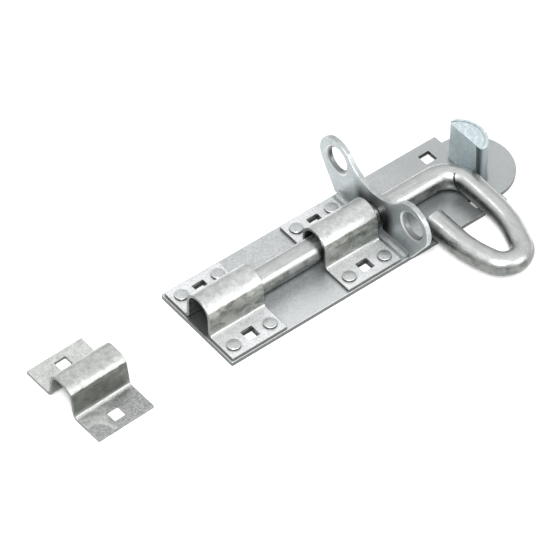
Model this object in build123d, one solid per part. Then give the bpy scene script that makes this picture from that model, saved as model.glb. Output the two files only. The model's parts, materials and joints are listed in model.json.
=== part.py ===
from build123d import *
import os

# Heavy padbolt: a round bar with a hairpin handle slides and turns under two riveted
# saddles on a backplate. The handle drops over one of two padlock ears to lock.
# All sizes are in millimetres. The origin is the centre of the backplate's rear face,
# +X is the way the bar is thrown, +Y is the side where the handle lies, +Z is outwards.

# Backplate
PLATE_L = 210.0
PLATE_W = 68.0
PLATE_T = 3.0
TAB_R = 27.5
PLATE_CORNER_R = 0.8
PLATE_EDGE_R = 0.4

# Square holes for 8 mm cup-square bolts
SQUARE = 8.5
SQUARE_CORNER_R = 0.6
END_HOLES = [(-89.2, 24.2), (-89.7, -22.7)]

# Saddle pressing: front saddle, rear saddle and keep are bent from the same sheet
SHEET = 2.0
SHEET_EDGE_R = 0.35
SADDLE_L = 40.0
SADDLE_W = 65.0
SADDLE_H = 24.8
SADDLE_CROWN_HALF = 10.0
SADDLE_FOOT_HALF = 10.0
SADDLE_CROWN_R = 9.7
SADDLE_FOOT_R = 3.5
SADDLE_HOLE_Y = 23.15
SADDLE_Y = 0.6
FRONT_SADDLE_X = 83.8
REAR_SADDLE_X = -2.2

# The keep is sprung a little wider and lower, and lies loose in front of the bolt
KEEP_W = 67.4
KEEP_H = 22.5
KEEP_CROWN_HALF = 8.5
KEEP_FOOT_HALF = 11.3
KEEP_CROWN_R = 6.7
KEEP_FOOT_R = 3.5
KEEP_HOLE_Y = 24.35
KEEP_X = 179.85
KEEP_Y = -2.3
KEEP_TURN = 1.8

# Rivets
RIVET_PITCH_X = 26.8
RIVET_Y = 24.9
RIVET_SHANK_R = 2.5
RIVET_HEAD_R = 4.2
RIVET_HEAD_H = 1.9
RIVET_RIM_H = 1.45
RIVET_HEAD_EDGE_R = 0.5
RIVET_SINK_R = 4.0
RIVET_SINK_H = 1.5

# Bar and hairpin handle, bent from one round bar
BAR_R = 8.0
BAR_GAP = 1.0
BAR_Z = PLATE_T + BAR_GAP + BAR_R
BAR_TIP_X = 80.0
BAR_TIP_CHAMFER = 1.5
BAR_JOIN_X = -2.3
BEND_X = -90.1
BEND_R = 17.0
LEG_KNEE = (-88.7, 53.0)
LEG_KNEE_R = 75.0
LOOP_PEAK = (-68.4, 105.0)
LOOP_R = 12.2
RETURN_KNEE = (-52.6, 57.0)
RETURN_KNEE_R = 75.0
RETURN_END_Y = 26.0
HANDLE_END_CHAMFER = 0.8

# Radius of the bar at places along the handle, which forging draws slimmer round the loop
PLAIN_R = [(0.0, BAR_R), (0.08, BAR_R), (0.16, BAR_R), (0.24, BAR_R), (0.32, BAR_R)]
DRAWN_R = PLAIN_R + [(0.45, 7.5), (0.72, 7.35), (0.88, 7.7), (1.0, BAR_R)]

# Pinched crease across the inside of the first bend
CREASE_AT = 0.78
CREASE_LEAN = 30.0
CREASE_W = 1.1
CREASE_DEPTH = 1.1

# Ear plate that takes the padlock
EAR_FRONT_X = -28.0
EAR_T = 3.5
EAR_SHIFT_Y = -1.0
EAR_BASE_HALF = 35.9
EAR_Y = 34.9
EAR_Z = 29.9
EAR_R = 15.3
VALLEY_Z = 29.4
PADLOCK_Y = 34.9
PADLOCK_Z = 30.1
PADLOCK_R = 8.5
PADLOCK_DISH_W = 2.0
PADLOCK_DISH_DEPTH = 1.2
EAR_EDGE_R = 0.6
EAR_SLOT_CLEARANCE = 0.75
WELD_LEG = 3.5
WELD_TOE = 0.4
WELD_END_GAP = 1.5

# Stop post, a D-shaped stud behind the bend of the bar
POST_CHORD = 30.0
POST_DEPTH = 13.0
POST_ARC_R = 18.0
POST_H = 31.2
POST_FLAT_X = -98.8
POST_Y = 0.2
POST_FACE_CORNER_R = 2.0
POST_BACK_CORNER_R = 3.0
POST_TOP_R = 0.8
POST_RIM_W = 2.2
POST_RIM_H = 0.45
POST_SPIGOT_R = 4.0
POST_GROOVE_TOP_Y = (10.2, 14.5)
POST_GROOVE_FOOT_Y = (11.7, 14.1)
POST_GROOVE_DEPTH = 2.6
POST_GROOVE_TOP = 1.0


def round_bore(x, y, radius, low, high):
    """A vertical cutting cylinder between two heights."""
    return Pos(x, y, low) * extrude(Circle(radius), high - low)


def square_hole(x, y):
    """Outline of one square bolt hole with slightly soft corners."""
    outline = Rectangle(SQUARE, SQUARE)
    return Pos(x, y) * fillet(outline.vertices(), SQUARE_CORNER_R)


def rivet_places(centre_x):
    """Names and places of the four rivets of one saddle."""
    places = {}
    for end, side_x in (("nose", 1), ("tail", -1)):
        for edge, side_y in (("left", 1), ("right", -1)):
            x = centre_x + side_x * RIVET_PITCH_X / 2
            places[f"{end}_{edge}"] = (x, SADDLE_Y + side_y * RIVET_Y)
    return places


def all_rivets():
    """Every rivet's node name and place, front saddle first."""
    rivets = {}
    for saddle, centre_x in (("front", FRONT_SADDLE_X), ("rear", REAR_SADDLE_X)):
        for place, point in rivet_places(centre_x).items():
            rivets[f"rivet_{saddle}_{place}"] = point
    return rivets


def countersink(x, y, low_z):
    """The flared closing end of a rivet hole, flush with the lower face."""
    cone = Cone(RIVET_SINK_R, RIVET_SHANK_R, RIVET_SINK_H)
    return Pos(x, y, low_z + RIVET_SINK_H / 2) * cone


def backplate():
    """Flat plate with a round tab at the handle end and all its holes."""
    outline = Rectangle(PLATE_L, PLATE_W)
    outline = fillet(outline.vertices(), PLATE_CORNER_R)
    outline += Pos(-PLATE_L / 2, 0) * Circle(TAB_R)
    for x, y in END_HOLES:
        outline -= square_hole(x, y)
    for side in (1, -1):
        outline -= square_hole(FRONT_SADDLE_X, SADDLE_Y + side * SADDLE_HOLE_Y)
        outline -= square_hole(REAR_SADDLE_X, SADDLE_Y + side * SADDLE_HOLE_Y)
    plate = extrude(outline, PLATE_T)
    rim = plate.faces().sort_by(Axis.Z)[-1].outer_wire().edges()
    plate = fillet(rim, PLATE_EDGE_R)
    for x, y in all_rivets().values():
        plate -= round_bore(x, y, RIVET_SHANK_R, 0, PLATE_T)
        plate -= countersink(x, y, 0)
    return plate - post_spigot()


def pressing_section(width, height, crown_half, foot_half, crown_r, foot_r):
    """Bent-sheet section over the bar; half widths and radii are of the sheet's middle."""
    mid = SHEET / 2
    top = height - mid
    half = width / 2
    left = [(-half, mid), (-foot_half, mid), (-crown_half, top)]
    right = [(crown_half, top), (foot_half, mid), (half, mid)]
    return trace(FilletPolyline(*left, *right, radius=[foot_r, crown_r, crown_r, foot_r]), SHEET)


def pressing(section, hole_y):
    """One bent pressing, centred on its length, with soft edges and two square holes."""
    body = Pos(-SADDLE_L / 2, 0, 0) * extrude(Plane.YZ * section, SADDLE_L)
    ends = body.faces().filter_by(Axis.X)
    rims = [edge for face in ends for edge in face.outer_wire().edges()]
    body = fillet(rims, SHEET_EDGE_R)
    for side in (1, -1):
        body -= extrude(square_hole(0, side * hole_y), SHEET)
    return body


def riveted_saddle(centre_x):
    """A saddle on the backplate, drilled for its four rivets."""
    section = pressing_section(
        SADDLE_W, SADDLE_H, SADDLE_CROWN_HALF, SADDLE_FOOT_HALF, SADDLE_CROWN_R, SADDLE_FOOT_R
    )
    body = Pos(centre_x, SADDLE_Y, PLATE_T) * pressing(section, SADDLE_HOLE_Y)
    for x, y in rivet_places(centre_x).values():
        body -= round_bore(x, y, RIVET_SHANK_R, PLATE_T, PLATE_T + SHEET)
    return body


def keep():
    """The loose keep that takes the nose of the bar, standing on the same wall."""
    section = pressing_section(
        KEEP_W, KEEP_H, KEEP_CROWN_HALF, KEEP_FOOT_HALF, KEEP_CROWN_R, KEEP_FOOT_R
    )
    return Pos(KEEP_X, KEEP_Y, 0) * Rot(0, 0, KEEP_TURN) * pressing(section, KEEP_HOLE_Y)


def rivet(x, y):
    """Button-headed rivet through saddle and plate, closed flush at the back."""
    seat = PLATE_T + SHEET
    dome_h = RIVET_HEAD_H - RIVET_RIM_H
    dome_r = (RIVET_HEAD_R**2 + dome_h**2) / (2 * dome_h)
    dome = Pos(0, 0, seat + RIVET_HEAD_H - dome_r) * Sphere(dome_r)
    head = round_bore(0, 0, RIVET_HEAD_R, seat, seat + RIVET_HEAD_H) & dome
    circles = head.edges().filter_by(lambda edge: edge.is_closed)
    head = fillet(circles.sort_by(Axis.Z)[-1], RIVET_HEAD_EDGE_R)
    shank = round_bore(0, 0, RIVET_SHANK_R, 0, seat)
    return Pos(x, y, 0) * (head + shank + countersink(0, 0, 0))


def bolt_bar():
    """Straight front length of the bar, from its tip to the joint plane."""
    bar = Plane.YZ * Circle(BAR_R)
    bar = Pos(BAR_JOIN_X, 0, BAR_Z) * extrude(bar, BAR_TIP_X - BAR_JOIN_X)
    tip = bar.faces().sort_by(Axis.X)[-1].edges()
    return chamfer(tip, BAR_TIP_CHAMFER)


def bend_crease(path):
    """Cutter for the crease: a thin slab that bites only the inner side of the section."""
    bend = path.edges()[1]
    place = bend @ CREASE_AT
    frame = Plane(origin=place, x_dir=place - bend.arc_center, z_dir=bend % CREASE_AT)
    slab = Pos(-BAR_R / 2 - 1, 0, 0) * Box(BAR_R + 2, 2 * BAR_R, CREASE_W)
    core = Pos(CREASE_DEPTH, 0, 0) * Cylinder(BAR_R, 2 * BAR_R)
    return frame.location * (Rot(-CREASE_LEAN, 0, 0) * slab - core)


def bolt_handle():
    """Tail of the bar and its hairpin handle, all in one plane."""
    corners = [
        (BAR_JOIN_X, 0),
        (BEND_X, 0),
        LEG_KNEE,
        LOOP_PEAK,
        RETURN_KNEE,
        (RETURN_KNEE[0], RETURN_END_Y),
    ]
    bends = [BEND_R, LEG_KNEE_R, LOOP_R, RETURN_KNEE_R]
    path = Pos(0, 0, BAR_Z) * FilletPolyline(*corners, radius=bends)
    sections = [Plane(origin=path @ at, z_dir=path % at) * Circle(r) for at, r in DRAWN_R]
    handle = sweep([section.face() for section in sections], path=path, multisection=True)
    free_end = handle.faces().filter_by(GeomType.PLANE).sort_by(Axis.Y)[-1]
    return chamfer(free_end.edges(), HANDLE_END_CHAMFER) - bend_crease(path)


def ear_outline():
    """Two round ears joined by a round valley, on flanks that spread from the foot."""
    rise = VALLEY_Z - EAR_Z
    valley_r = (EAR_Y**2 + rise**2 - EAR_R**2) / (2 * (EAR_R - rise))
    valley = Pos(0, VALLEY_Z + valley_r) * Circle(valley_r)
    touch_y = EAR_Y * valley_r / (valley_r + EAR_R)
    touch_z = EAR_Z + (valley_r + rise) * EAR_R / (valley_r + EAR_R)
    foot = [(-EAR_BASE_HALF, PLATE_T), (EAR_BASE_HALF, PLATE_T)]
    outline = make_face(Polyline(*foot, (touch_y, touch_z), (-touch_y, touch_z), close=True))
    for side in (1, -1):
        ear = Pos(side * EAR_Y, EAR_Z) * Circle(EAR_R)
        outline += make_hull(ear.edges() + Line(*foot).edges())
    return Pos(EAR_SHIFT_Y, 0) * (outline - valley)


def ear_plate():
    """Upright plate with two padlock ears, slotted over the bar."""
    slot_r = BAR_R + EAR_SLOT_CLEARANCE
    outline = ear_outline()
    outline -= Pos(0, BAR_Z) * Circle(slot_r)
    slot_h = BAR_Z - PLATE_T
    outline -= Pos(0, PLATE_T + slot_h / 2) * Rectangle(2 * slot_r, slot_h)
    for side in (1, -1):
        outline -= Pos(side * PADLOCK_Y, PADLOCK_Z) * Circle(PADLOCK_R)
    plate = extrude(Plane.YZ * outline, EAR_T)
    back, front = plate.faces().filter_by(Axis.X).sort_by(Axis.X)
    rims = back.outer_wire().edges() + front.outer_wire().edges()
    plate = fillet([e for e in rims if e.center().Z > BAR_Z + slot_r], EAR_EDGE_R)
    front = plate.faces().filter_by(Axis.X).sort_by(Axis.X)[-1]
    mouths = [edge for hole in front.inner_wires() for edge in hole.edges()]
    plate = chamfer(mouths, PADLOCK_DISH_W, PADLOCK_DISH_DEPTH, reference=front)
    return Pos(EAR_FRONT_X - EAR_T, 0, 0) * plate


def ear_weld():
    """Concave weld bead along the front foot of the ear plate, each side of the bar."""
    bead = Rectangle(WELD_LEG, WELD_LEG, align=Align.MIN)
    bead -= Pos(WELD_LEG, WELD_LEG) * Circle(WELD_LEG - WELD_TOE)
    inner_y = BAR_R + EAR_SLOT_CLEARANCE
    outer_y = PLATE_W / 2 - WELD_END_GAP
    bead = extrude(Plane.XZ * bead, outer_y - inner_y)
    bead = Pos(EAR_FRONT_X, 0, PLATE_T) * bead
    return Compound(children=[Pos(0, outer_y, 0) * bead, Pos(0, -inner_y, 0) * bead])


def post_spigot():
    """Round spigot of the post, riveted flush into the backplate."""
    return round_bore(POST_FLAT_X - POST_DEPTH / 2, POST_Y, POST_SPIGOT_R, 0, PLATE_T)


def post_groove():
    """Cutter for the groove beside the near end of the post's flat face."""
    top = POST_H - POST_GROOVE_TOP
    low, high = POST_GROOVE_FOOT_Y
    low_top, high_top = POST_GROOVE_TOP_Y
    outline = make_face(Polyline((low, 0), (high, 0), (high_top, top), (low_top, top), close=True))
    return extrude(Plane.YZ * outline, POST_GROOVE_DEPTH, both=True)


def stop_post():
    """D-shaped stud, its flat face to the bar, with a low rim round the top of its back."""
    back = Pos(POST_ARC_R - POST_DEPTH, 0)
    section = back * Circle(POST_ARC_R)
    section &= Pos(-POST_DEPTH / 2, 0) * Rectangle(POST_DEPTH, POST_CHORD)
    corners = section.vertices().sort_by(Axis.X)
    section = fillet(corners[-2:], POST_FACE_CORNER_R)
    corners = [v for v in section.vertices() if v.X < -POST_FACE_CORNER_R - 1]
    section = fillet(corners, POST_BACK_CORNER_R)
    post = extrude(section, POST_H)
    post = fillet(post.faces().sort_by(Axis.Z)[-1].edges(), POST_TOP_R)
    post -= back * round_bore(0, 0, POST_ARC_R - POST_RIM_W, POST_H - POST_RIM_H, POST_H)
    post -= post_groove()
    return Pos(POST_FLAT_X, POST_Y, PLATE_T) * post + post_spigot()


PARTS = {
    "backplate": backplate(),
    "front_saddle": riveted_saddle(FRONT_SADDLE_X),
    "rear_saddle": riveted_saddle(REAR_SADDLE_X),
    "bolt_bar": bolt_bar(),
    "bolt_handle": bolt_handle(),
    "ear_plate": ear_plate(),
    "ear_weld": ear_weld(),
    "stop_post": stop_post(),
    "keep": keep(),
}
for name, (x, y) in all_rivets().items():
    PARTS[name] = rivet(x, y)

os.makedirs("parts", exist_ok=True)
for name, solid in PARTS.items():
    export_step(solid, f"parts/{name}.step")
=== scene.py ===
import json
import math
from collections import namedtuple

import bpy
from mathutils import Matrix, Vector


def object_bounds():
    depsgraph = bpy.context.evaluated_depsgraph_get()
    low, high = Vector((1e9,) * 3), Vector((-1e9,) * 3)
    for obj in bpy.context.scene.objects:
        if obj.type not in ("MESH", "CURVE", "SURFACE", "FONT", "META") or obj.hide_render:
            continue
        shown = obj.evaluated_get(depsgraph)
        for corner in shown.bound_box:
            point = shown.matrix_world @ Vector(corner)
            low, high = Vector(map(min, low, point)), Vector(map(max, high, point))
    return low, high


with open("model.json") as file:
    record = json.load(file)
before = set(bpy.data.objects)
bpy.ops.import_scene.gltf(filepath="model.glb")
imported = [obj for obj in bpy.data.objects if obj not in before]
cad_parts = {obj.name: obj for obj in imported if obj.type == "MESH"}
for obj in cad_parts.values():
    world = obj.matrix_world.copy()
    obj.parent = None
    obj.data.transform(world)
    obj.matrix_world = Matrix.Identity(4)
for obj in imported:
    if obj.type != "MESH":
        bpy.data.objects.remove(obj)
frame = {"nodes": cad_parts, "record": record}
cad_low, cad_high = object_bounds()
nodes = frame["nodes"]

X, Y, Z = 0, 1, 2

# Camera: direction and roll in degrees, lens in millimetres, distances in metres
CAMERA_AZIMUTH = 141.858
CAMERA_ELEVATION = 47.552
CAMERA_ROLL = -0.331
CAMERA_LENS = 210.08
CAMERA_DISTANCE = 1.9278
AIM = Vector((0.0416, -0.0017, 0.0))

# Studio: floor in metres, and the surround's strength at the horizon and overhead
FLOOR_SIDE = 8.0
FLOOR_GAP = 0.0002
SKY_LOW = 0.55
SKY_HIGH = 1.14
SKY_HIGH_FROM = 0.8

# Soft boxes: place in metres, side of the square in metres, power in watts
SOFT_BOXES = {
    "soft_box_key": ((0.88, 1.0, 1.76), 0.6, 44.0),
    "soft_box_back": ((-0.6, 1.2, 0.65), 0.85, 5.8),
    "soft_box_left": ((0.45, -0.8, 1.2), 0.30, 1.1),
}

# Places on the object in metres, each from where a finish starts to where it is full
BEND_Y = (0.006, 0.022)
PLATE_TAIL_X = (-0.03, -0.075)
PLATE_FRONT_X = (-0.03, -0.01)
PLATE_NEAR_STRIP_Y = (0.014, 0.028)
PLATE_HOLE_SHADE_X = (0.1035, 0.1015)
PLATE_HOLE_SHADE_Y = (0.0325, 0.0310)
SADDLE_MOUTH_SHADE_X = (0.063, 0.066)
SADDLE_MOUTH_SHADE_Y = (0.0105, 0.0080)
KEEP_FLANGE_Z = (0.004, 0.003)
EAR_SHADE_Y = (-0.012, 0.018)
EAR_SLOT_SHADOW_Y = (0.0190, 0.0125)
EAR_SLOT_SHADOW_Z = (0.030, 0.020)
DISH_RING_HIGHLIGHT_R = (0.0109, 0.0103)
DISH_WALL_SHADE_R = (0.0098, 0.0090)

# Centres in metres
EAR_HOLE_Y = 0.0349
EAR_HOLE_Z = 0.0301
POST_SCRATCH_CENTRE = (-0.080, -0.020, 0.0)

# How far painted shade reaches out of a crevice, in metres, and its colour
CREVICE_SHADE_REACH = 0.0025
CREVICE_SHADE = (0.07, 0.075, 0.07)

# Looks of the two kinds of pressing: colours, heights of the bends in metres, metallic flange
Pressing = namedtuple(
    "Pressing",
    "light dark side_light side_dark crown_light crown_dark foot_z crown_z flange_metal",
)
SADDLE = Pressing(
    light=(0.70, 0.715, 0.72),
    dark=(0.56, 0.575, 0.58),
    side_light=(0.31, 0.32, 0.295),
    side_dark=(0.115, 0.123, 0.11),
    crown_light=(0.60, 0.61, 0.61),
    crown_dark=(0.44, 0.45, 0.445),
    foot_z=0.0065,
    crown_z=0.012,
    flange_metal=0.62,
)
KEEP = Pressing(
    light=(0.62, 0.63, 0.615),
    dark=(0.46, 0.475, 0.455),
    side_light=(0.155, 0.162, 0.148),
    side_dark=(0.095, 0.101, 0.090),
    crown_light=(0.54, 0.55, 0.54),
    crown_dark=(0.38, 0.395, 0.375),
    foot_z=0.0035,
    crown_z=0.009,
    flange_metal=0.85,
)
PRESSING_METAL = 0.94


class Shader:
    """One node material, with short calls for the nodes that metal needs."""

    def __init__(self, name):
        self.material = bpy.data.materials.new(name)
        self.material.use_nodes = True
        self.tree = self.material.node_tree
        self.bsdf = self.tree.nodes["Principled BSDF"]
        self.coords = self.node("ShaderNodeTexCoord")

    def node(self, kind, **settings):
        made = self.tree.nodes.new(kind)
        for key, value in settings.items():
            setattr(made, key, value)
        return made

    def link(self, source, target):
        self.tree.links.new(source, target)

    def place(self, stretch=(1, 1, 1)):
        """Object coordinates in metres, stretched along the axes."""
        mapping = self.node("ShaderNodeMapping")
        mapping.inputs["Scale"].default_value = stretch
        self.link(self.coords.outputs["Object"], mapping.inputs["Vector"])
        return mapping.outputs["Vector"]

    def noise(self, size, detail=4.0, rough=0.55, stretch=(1, 1, 1), distort=0.0):
        """Cloudy value with features about as large as size, in metres."""
        made = self.node("ShaderNodeTexNoise")
        made.inputs["Scale"].default_value = 1.0 / size
        made.inputs["Detail"].default_value = detail
        made.inputs["Roughness"].default_value = rough
        made.inputs["Distortion"].default_value = distort
        self.link(self.place(stretch), made.inputs["Vector"])
        return made.outputs["Fac"]

    def cells(self, size, stretch=(1, 1, 1)):
        """A random value for each crystal-like cell."""
        made = self.node("ShaderNodeTexVoronoi")
        made.inputs["Scale"].default_value = 1.0 / size
        self.link(self.place(stretch), made.inputs["Vector"])
        split = self.node("ShaderNodeSeparateColor")
        self.link(made.outputs["Color"], split.inputs["Color"])
        return split.outputs["Red"]

    def remap(self, value, low, high, to_low=0.0, to_high=1.0):
        made = self.node("ShaderNodeMapRange")
        made.inputs["From Min"].default_value = low
        made.inputs["From Max"].default_value = high
        made.inputs["To Min"].default_value = to_low
        made.inputs["To Max"].default_value = to_high
        self.link(value, made.inputs["Value"])
        return made.outputs["Result"]

    def math(self, operation, first, second):
        made = self.node("ShaderNodeMath", operation=operation)
        for socket, value in zip(made.inputs, (first, second)):
            if isinstance(value, (int, float)):
                socket.default_value = value
            else:
                self.link(value, socket)
        return made.outputs["Value"]

    def blend(self, factor, first, second, blend_type="MIX"):
        """Mixes two colours; each is a colour or another node's output."""
        made = self.node("ShaderNodeMix", data_type="RGBA", blend_type=blend_type)
        pairs = ((made.inputs[0], factor), (made.inputs[6], first), (made.inputs[7], second))
        for socket, value in pairs:
            if isinstance(value, (int, float)):
                socket.default_value = value
            elif isinstance(value, tuple):
                socket.default_value = (*value, 1.0)
            else:
                self.link(value, socket)
        return made.outputs[2]

    def axis(self, output, index):
        """One component of a coordinate or normal."""
        split = self.node("ShaderNodeSeparateXYZ")
        self.link(self.coords.outputs[output], split.inputs["Vector"])
        return split.outputs[index]

    def facing(self, index):
        """How squarely the surface faces along an axis, either way, from 0 to 1."""
        return self.math("ABSOLUTE", self.axis("Normal", index), 0.0)

    def off_middle(self, index):
        """How far the point lies from the middle along an axis, in metres."""
        return self.math("ABSOLUTE", self.axis("Object", index), 0.0)

    def both(self, first, second):
        """A mask of where two masks meet."""
        return self.math("MULTIPLY", first, second)

    def paint(self, colour, mask, tint, amount=1.0):
        """Paints a tint over a colour where the mask is 1, as strongly as the amount."""
        return self.blend(self.math("MULTIPLY", mask, amount), colour, tint)

    def stain(self, centre, radii, ragged):
        """An oval patch with a ragged edge: 1 inside, 0 outside; lengths in metres."""
        mapping = self.node("ShaderNodeMapping", vector_type="TEXTURE")
        mapping.inputs["Location"].default_value = centre
        mapping.inputs["Scale"].default_value = radii
        self.link(self.coords.outputs["Object"], mapping.inputs["Vector"])
        length = self.node("ShaderNodeVectorMath", operation="LENGTH")
        self.link(mapping.outputs["Vector"], length.inputs[0])
        wobble = self.math("MULTIPLY", self.noise(0.004, 5.0, 0.65), ragged * 2)
        reach = self.math("ADD", length.outputs["Value"], wobble)
        return self.remap(reach, 1.08 + ragged, 0.92 + ragged)

    def streaks(self, across, along):
        """Drawing marks that follow the bar, then its leg once past the bend."""
        first = self.noise(1.0, 3.0, 0.6, (1 / along, 1 / across, 1 / across))
        second = self.noise(1.0, 3.0, 0.6, (1 / across, 1 / along, 1 / across))
        turned = self.remap(self.axis("Object", Y), *BEND_Y)
        keep_first = self.math("MULTIPLY", first, self.math("SUBTRACT", 1.0, turned))
        return self.math("ADD", keep_first, self.math("MULTIPLY", second, turned))

    def bumps(self, *layers):
        """Stacks bump layers of (height, depth in metres)."""
        previous = None
        for height, depth in layers:
            made = self.node("ShaderNodeBump")
            made.inputs["Strength"].default_value = 1.0
            made.inputs["Distance"].default_value = depth
            self.link(height, made.inputs["Height"])
            if previous is not None:
                self.link(previous, made.inputs["Normal"])
            previous = made.outputs["Normal"]
        self.link(previous, self.bsdf.inputs["Normal"])

    def finish(self, colour, roughness, metallic):
        """Wires up the shader; metallic is one number, or a node's output where it varies."""
        self.link(colour, self.bsdf.inputs["Base Color"])
        self.link(roughness, self.bsdf.inputs["Roughness"])
        if isinstance(metallic, float):
            self.bsdf.inputs["Metallic"].default_value = metallic
        else:
            self.link(metallic, self.bsdf.inputs["Metallic"])
        return self.material


def zinc(name, light, dark, mottle=0.012, spangle=0.004, speck=1.0):
    """Dull hot-dip zinc to build on: cloudy grey, faint crystals, specks and small pits."""
    s = Shader(name)
    clouds = s.remap(s.noise(mottle, 6.0, 0.62, distort=0.5), 0.34, 0.66)
    crystals = s.cells(spangle)
    grain = s.noise(0.0012, 4.0, 0.75)
    tone = s.math("ADD", s.math("MULTIPLY", clouds, 0.65), s.math("MULTIPLY", crystals, 0.35))
    pit = tuple(c * 0.62 for c in dark)
    glint = tuple(min(1.0, c * 1.3) for c in light)
    colour = s.blend(tone, dark, light)
    colour = s.blend(s.remap(grain, 0.52, 0.70, 0.0, 0.55 * speck), colour, pit)
    colour = s.blend(s.remap(grain, 0.48, 0.30, 0.0, 0.45 * speck), colour, glint)
    return s, colour, tone, grain


def paint_crevice_shade(s, colour, amount, reach=CREVICE_SHADE_REACH):
    """Painted shade in the crevices, within a reach in metres of another surface."""
    # Painted shade: ambient occlusion darkens the colour where another surface is close.
    near = s.node("ShaderNodeAmbientOcclusion", samples=6)
    near.inputs["Distance"].default_value = reach
    return s.blend(s.remap(near.outputs["AO"], 0.85, 0.35, 0.0, amount), colour, CREVICE_SHADE)


def skin(s, grain, ripple=0.007, depth=0.00012):
    """The slightly rippled and grainy skin of the zinc."""
    s.bumps((s.noise(ripple, 2.0, 0.5), depth), (grain, 0.00005))


def plate_finish():
    """Backplate: darker tail, paler strip in front, dark cut sides, painted shade on the walls of
    its square holes and in the saddle mouth.
    """
    light, dark = (0.58, 0.60, 0.61), (0.48, 0.505, 0.515)
    s, colour, tone, grain = zinc("zinc_plate", light, dark, 0.014, speck=1.3)
    along = s.axis("Object", X)
    tail = s.remap(along, *PLATE_TAIL_X)
    colour = s.paint(colour, tail, (0.40, 0.42, 0.425), 0.7)
    front = s.remap(along, *PLATE_FRONT_X)
    strip = s.both(s.remap(s.axis("Object", Y), *PLATE_NEAR_STRIP_Y), front)
    colour = s.paint(colour, strip, (0.72, 0.74, 0.75), 0.5)
    # Painted shade on the plate inside the front saddle's mouth, under its arch.
    mouth_shade = s.both(s.remap(s.off_middle(Y), *SADDLE_MOUTH_SHADE_Y), s.remap(along, *SADDLE_MOUTH_SHADE_X))
    colour = s.paint(colour, mouth_shade, (0.10, 0.11, 0.11), 0.75)
    # The cut sides are dark; the walls of the square holes darker still, as painted shade.
    hole_wall = s.both(s.remap(s.off_middle(Y), *PLATE_HOLE_SHADE_Y), s.remap(s.off_middle(X), *PLATE_HOLE_SHADE_X))
    cut_side_and_hole_shade = s.blend(hole_wall, (0.14, 0.15, 0.145), (0.035, 0.038, 0.036))
    colour = s.blend(s.remap(s.facing(Z), 0.75, 0.35), colour, cut_side_and_hole_shade)
    colour = paint_crevice_shade(s, colour, 0.75)
    skin(s, grain, 0.010)
    return s.finish(colour, s.remap(tone, 0.0, 1.0, 0.46, 0.36), 0.93)


def pressing_finish(name, look):
    """A bent pressing: bright scuffed crown, mottled olive sides darkened as painted shade,
    painted shade in the foot bends, dark cut ends.
    """
    s, colour, _, grain = zinc(name, look.light, look.dark, 0.010, speck=1.5)
    height = s.axis("Object", Z)
    level = s.facing(Z)
    wander = s.math("MULTIPLY", s.math("SUBTRACT", s.noise(0.003, 4.0, 0.65), 0.5), 0.22)
    slope = s.math("ADD", level, wander)

    # Mottled olive tone on the steep legs, darkened as painted shade.
    smear = s.remap(s.noise(0.005, 6.0, 0.65, (0.6, 1, 1), 0.8), 0.36, 0.62)
    leg_side_shade = s.blend(smear, look.side_dark, look.side_light)
    colour = s.blend(s.remap(slope, 0.56, 0.47), colour, leg_side_shade)

    above = s.remap(height, look.crown_z, look.crown_z + 0.004)
    scuffed = s.remap(s.noise(0.004, 6.0, 0.7), 0.38, 0.60)
    crown = s.blend(scuffed, look.crown_dark, look.crown_light)
    colour = s.blend(s.both(s.remap(slope, 0.50, 0.58), above), colour, crown)

    # Painted shade in the concave bend at the foot of each leg.
    foot = s.remap(height, look.foot_z + 0.002, look.foot_z)
    foot_bend_shade = s.both(s.remap(slope, 0.97, 0.90), foot)
    colour = s.paint(colour, foot_bend_shade, (0.40, 0.41, 0.39), 0.45)

    below = s.remap(height, look.foot_z - 0.0012, look.foot_z - 0.0016)
    rim = s.both(s.remap(level, 0.45, 0.25), below)
    cut_ends = s.math("MAXIMUM", rim, s.remap(s.facing(X), 0.6, 0.85))
    colour = s.blend(cut_ends, colour, (0.16, 0.168, 0.163))

    flange = s.both(s.remap(level, 0.94, 0.98), s.remap(height, look.foot_z, look.foot_z - 0.001))
    return s, colour, grain, s.remap(flange, 0.0, 1.0, PRESSING_METAL, look.flange_metal)


def saddle_finish():
    """The two riveted saddles."""
    s, colour, grain, metal = pressing_finish("zinc_saddle", SADDLE)
    colour = paint_crevice_shade(s, colour, 0.7)
    scuffs = s.remap(s.noise(0.0035, 5.0, 0.7, (0.5, 1, 1)), 0.40, 0.58)
    skin(s, grain, 0.008)
    return s.finish(colour, s.remap(scuffs, 0.0, 1.0, 0.46, 0.30), metal)


def keep_finish():
    """The keep, with two dull oval patches on the flange that faces the handle's side."""
    s, colour, grain, metal = pressing_finish("zinc_keep", KEEP)
    right_patch = s.stain((0.1655, 0.0270, 0.0), (0.0205, 0.0160, 1.0), 0.1)
    left_patch = s.stain((0.1965, 0.0325, 0.0), (0.0095, 0.0115, 1.0), 0.1)
    flange = s.remap(s.axis("Object", Z), *KEEP_FLANGE_Z)
    dull = s.both(s.math("MAXIMUM", left_patch, right_patch), flange)
    dull_zinc = s.blend(s.remap(grain, 0.38, 0.62), (0.40, 0.415, 0.41), (0.19, 0.20, 0.195))
    colour = s.paint(colour, dull, dull_zinc, 0.85)
    colour = paint_crevice_shade(s, colour, 0.6)
    scuffs = s.remap(s.noise(0.003, 5.0, 0.7, (0.6, 1, 1)), 0.42, 0.56)
    skin(s, grain, 0.006)
    return s.finish(colour, s.remap(scuffs, 0.0, 1.0, 0.50, 0.31), metal)


def ear_hole_reach(s):
    """Distance in metres from the centre of the nearer padlock hole."""
    across = s.math("SUBTRACT", s.off_middle(Y), EAR_HOLE_Y)
    rise = s.math("SUBTRACT", s.axis("Object", Z), EAR_HOLE_Z)
    squares = s.math("ADD", s.math("MULTIPLY", across, across), s.math("MULTIPLY", rise, rise))
    return s.math("SQRT", squares, 0.0)


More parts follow.
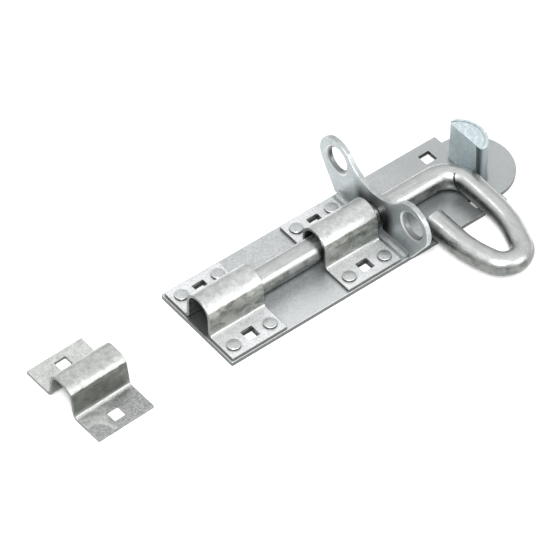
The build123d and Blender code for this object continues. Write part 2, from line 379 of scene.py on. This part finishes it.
def ear_finish():
    """Ear plate: worn bright rim, painted highlight round each dish, painted shade on the nearer
    side and in the holes, painted shadow round the bar's slot.
    """
    s, colour, tone, grain = zinc("zinc_ears", (0.42, 0.455, 0.465), (0.33, 0.36, 0.37), 0.014)
    shade = s.remap(s.axis("Object", Y), *EAR_SHADE_Y)
    colour = s.paint(colour, shade, (0.24, 0.26, 0.26), 0.2)
    # Painted shadow of the rear saddle on the ear plate, round the bar's slot.
    slot_shadow_across = s.remap(s.off_middle(Y), *EAR_SLOT_SHADOW_Y)
    below = s.remap(s.axis("Object", Z), *EAR_SLOT_SHADOW_Z)
    colour = s.blend(s.both(slot_shadow_across, below), colour, (0.035, 0.038, 0.036))
    worn = s.remap(s.facing(X), 0.97, 0.80)
    patchy = s.remap(s.noise(0.0035, 5.0, 0.65), 0.36, 0.60)
    colour = s.blend(s.both(worn, patchy), colour, (0.48, 0.50, 0.495))
    reach = ear_hole_reach(s)
    # Painted highlight: a bright ring on the chamfer round each dish.
    dish_ring_highlight = s.both(s.remap(reach, *DISH_RING_HIGHLIGHT_R), s.remap(s.facing(X), 0.99, 0.94))
    colour = s.blend(dish_ring_highlight, colour, (0.56, 0.575, 0.57))
    # Painted shade on the walls inside each padlock hole.
    colour = s.blend(s.remap(reach, *DISH_WALL_SHADE_R), colour, (0.20, 0.215, 0.215))
    colour = paint_crevice_shade(s, colour, 0.7)
    skin(s, grain)
    return s.finish(colour, s.remap(tone, 0.0, 1.0, 0.44, 0.34), 0.88)


def weld_finish():
    """Lumpy weld beads under the ear plate."""
    s, colour, tone, grain = zinc("zinc_weld", (0.46, 0.48, 0.485), (0.30, 0.32, 0.32), 0.005)
    s.bumps((s.noise(0.0025, 3.0, 0.6), 0.0004), (grain, 0.00008))
    return s.finish(colour, s.remap(tone, 0.0, 1.0, 0.50, 0.38), 0.8)


def post_scratches(s):
    """Curved scratches on the stop post, heavier in some places than in others."""
    arcs = s.node("ShaderNodeTexWave", wave_type="RINGS", rings_direction="Z")
    arcs.inputs["Scale"].default_value = 70.0
    arcs.inputs["Distortion"].default_value = 14.0
    arcs.inputs["Detail"].default_value = 5.0
    arcs.inputs["Detail Scale"].default_value = 1.3
    arcs.inputs["Detail Roughness"].default_value = 0.7
    offset = s.node("ShaderNodeMapping", vector_type="TEXTURE")
    offset.inputs["Location"].default_value = POST_SCRATCH_CENTRE
    s.link(s.coords.outputs["Object"], offset.inputs["Vector"])
    s.link(offset.outputs["Vector"], arcs.inputs["Vector"])
    heavier = s.remap(s.noise(0.003, 4.0, 0.7), 0.35, 0.6)
    return s.math("MULTIPLY", arcs.outputs["Fac"], heavier)


def post_finish():
    """Stop post: bluish zinc, scratched pale top, painted shade on the end sides."""
    light, dark = (0.47, 0.55, 0.575), (0.37, 0.435, 0.455)
    s, colour, tone, grain = zinc("zinc_post_skin", light, dark, 0.012, 0.002)
    scratch = post_scratches(s)
    top = s.remap(s.axis("Normal", Z), 0.80, 0.97)
    colour = s.blend(top, colour, s.blend(scratch, (0.47, 0.545, 0.57), (0.66, 0.73, 0.75)))
    # Painted shade on the end sides and the groove's walls, the faces turned away from X and Z.
    end_side_shade = s.both(s.remap(s.facing(X), 0.9, 0.6), s.remap(s.facing(Z), 0.5, 0.2))
    colour = s.blend(end_side_shade, colour, (0.22, 0.26, 0.27))
    colour = paint_crevice_shade(s, colour, 0.8, 0.003)
    s.bumps((scratch, 0.00003), (grain, 0.00004))
    return s.finish(colour, s.remap(tone, 0.0, 1.0, 0.44, 0.34), 0.70)


def rivet_finish():
    """Rivet heads: hammered, with a painted highlight on the rim and painted shade round the foot.
    """
    s, colour, tone, grain = zinc("zinc_rivet", (0.60, 0.62, 0.625), (0.46, 0.48, 0.485), 0.004)
    level = s.facing(Z)
    # Painted highlight on the sloping rim of each head.
    rim = s.both(s.remap(level, 0.985, 0.93), s.remap(level, 0.35, 0.6))
    colour = s.paint(colour, rim, (0.64, 0.65, 0.64), 0.8)
    # Painted shade on the steep wall round the foot of each head.
    colour = s.blend(s.remap(level, 0.50, 0.25), colour, (0.08, 0.085, 0.08))
    s.bumps((s.noise(0.0022, 2.0, 0.5), 0.0002), (grain, 0.00004))
    return s.finish(colour, s.remap(tone, 0.0, 1.0, 0.42, 0.32), 0.93)


def bar_finish():
    """Bar and handle: drawing marks along them and painted shade on the sides, alike either way
    up.
    """
    light, dark = (0.55, 0.565, 0.56), (0.44, 0.455, 0.45)
    s, colour, _, grain = zinc("zinc_bar", light, dark, 0.008, speck=0.35)
    lines = s.streaks(0.0008, 0.025)
    colour = s.blend(s.remap(lines, 0.50, 0.70, 0.0, 0.5), colour, (0.34, 0.35, 0.345))
    colour = s.blend(s.remap(lines, 0.44, 0.30, 0.0, 0.4), colour, (0.70, 0.71, 0.70))
    patches = s.remap(s.noise(0.007, 5.0, 0.65), 0.42, 0.60, 0.75, 1.0)
    # Painted shade on the steep sides, alike either way up.
    bar_side_shade = s.both(s.remap(s.facing(Z), 0.74, 0.42), patches)
    colour = s.blend(bar_side_shade, colour, (0.11, 0.118, 0.108))
    colour = paint_crevice_shade(s, colour, 0.6, 0.003)
    s.bumps((s.noise(0.009, 2.0, 0.5), 0.00012), (lines, 0.00004), (grain, 0.00002))
    return s.finish(colour, s.remap(patches, 0.75, 1.0, 0.37, 0.26), 0.97)


FINISHES = {
    "galvanised_plate": plate_finish(),
    "galvanised_saddle": saddle_finish(),
    "galvanised_ears": ear_finish(),
    "galvanised_weld": weld_finish(),
    "zinc_post": post_finish(),
    "galvanised_rivet": rivet_finish(),
    "galvanised_bar": bar_finish(),
    "galvanised_keep": keep_finish(),
}


def dress_nodes():
    """Gives every CAD node the finish of its material slot."""
    for part in frame["record"]["subparts"]:
        piece = nodes[part["node"]]
        piece.data.materials.clear()
        piece.data.materials.append(FINISHES[part["material_slot"]])


def make_camera():
    """Long lens aimed down at the bolt from its nose and handle side, slightly rolled."""
    azimuth = math.radians(CAMERA_AZIMUTH)
    elevation = math.radians(CAMERA_ELEVATION)
    back = Vector((
        math.sin(azimuth) * math.cos(elevation),
        -math.cos(azimuth) * math.cos(elevation),
        math.sin(elevation),
    ))
    camera = bpy.data.objects.new("camera", bpy.data.cameras.new("camera"))
    camera.data.lens = CAMERA_LENS
    camera.location = AIM + back * CAMERA_DISTANCE
    turn = (-back).to_track_quat("-Z", "Y").to_matrix()
    roll = math.radians(CAMERA_ROLL)
    right = turn.col[0] * math.cos(roll) + turn.col[1] * math.sin(roll)
    up = turn.col[1] * math.cos(roll) - turn.col[0] * math.sin(roll)
    turn.col[0] = right
    turn.col[1] = up
    camera.rotation_euler = turn.to_euler()
    bpy.context.scene.collection.objects.link(camera)
    bpy.context.scene.camera = camera


def make_light(name, place, size, power):
    """A square soft box that points at the middle of the backplate."""
    lamp = bpy.data.lights.new(name, "AREA")
    lamp.size = size
    lamp.energy = power
    box = bpy.data.objects.new(name, lamp)
    box.location = place
    box.rotation_euler = (-Vector(place)).to_track_quat("-Z", "Y").to_euler()
    bpy.context.scene.collection.objects.link(box)


def make_world():
    """Even studio surround, darker at the horizon than overhead."""
    world = bpy.data.worlds.new("studio")
    world.use_nodes = True
    bpy.context.scene.world = world
    tree = world.node_tree
    back = tree.nodes["Background"]
    coords = tree.nodes.new("ShaderNodeTexCoord")
    split = tree.nodes.new("ShaderNodeSeparateXYZ")
    height = tree.nodes.new("ShaderNodeMapRange")
    height.inputs["From Min"].default_value = 0.0
    height.inputs["From Max"].default_value = SKY_HIGH_FROM
    height.inputs["To Min"].default_value = SKY_LOW
    height.inputs["To Max"].default_value = SKY_HIGH
    tree.links.new(coords.outputs["Generated"], split.inputs["Vector"])
    tree.links.new(split.outputs["Z"], height.inputs["Value"])
    tree.links.new(height.outputs["Result"], back.inputs["Strength"])
    back.inputs["Color"].default_value = (1.0, 1.0, 1.0, 1.0)


def make_floor():
    """Plain pale floor under the backplate and the keep."""
    half = FLOOR_SIDE / 2
    mesh = bpy.data.meshes.new("floor")
    corners = [(-half, -half, 0), (half, -half, 0), (half, half, 0), (-half, half, 0)]
    mesh.from_pydata([(x, y, cad_low.z - FLOOR_GAP) for x, y, z in corners], [], [(0, 1, 2, 3)])
    floor = bpy.data.objects.new("floor", mesh)
    bpy.context.scene.collection.objects.link(floor)
    s = Shader("pale_floor")
    tone = s.remap(s.noise(0.3, 2.0), 0.3, 0.7)
    colour = s.blend(tone, (0.92, 0.92, 0.92), (0.95, 0.95, 0.95))
    roughness = s.remap(tone, 0.0, 1.0, 0.8, 0.9)
    mesh.materials.append(s.finish(colour, roughness, 0.0))


dress_nodes()
make_camera()
make_world()
make_floor()
for name, (place, size, power) in SOFT_BOXES.items():
    make_light(name, place, size, power)

bpy.context.scene.view_settings.view_transform = "Standard"
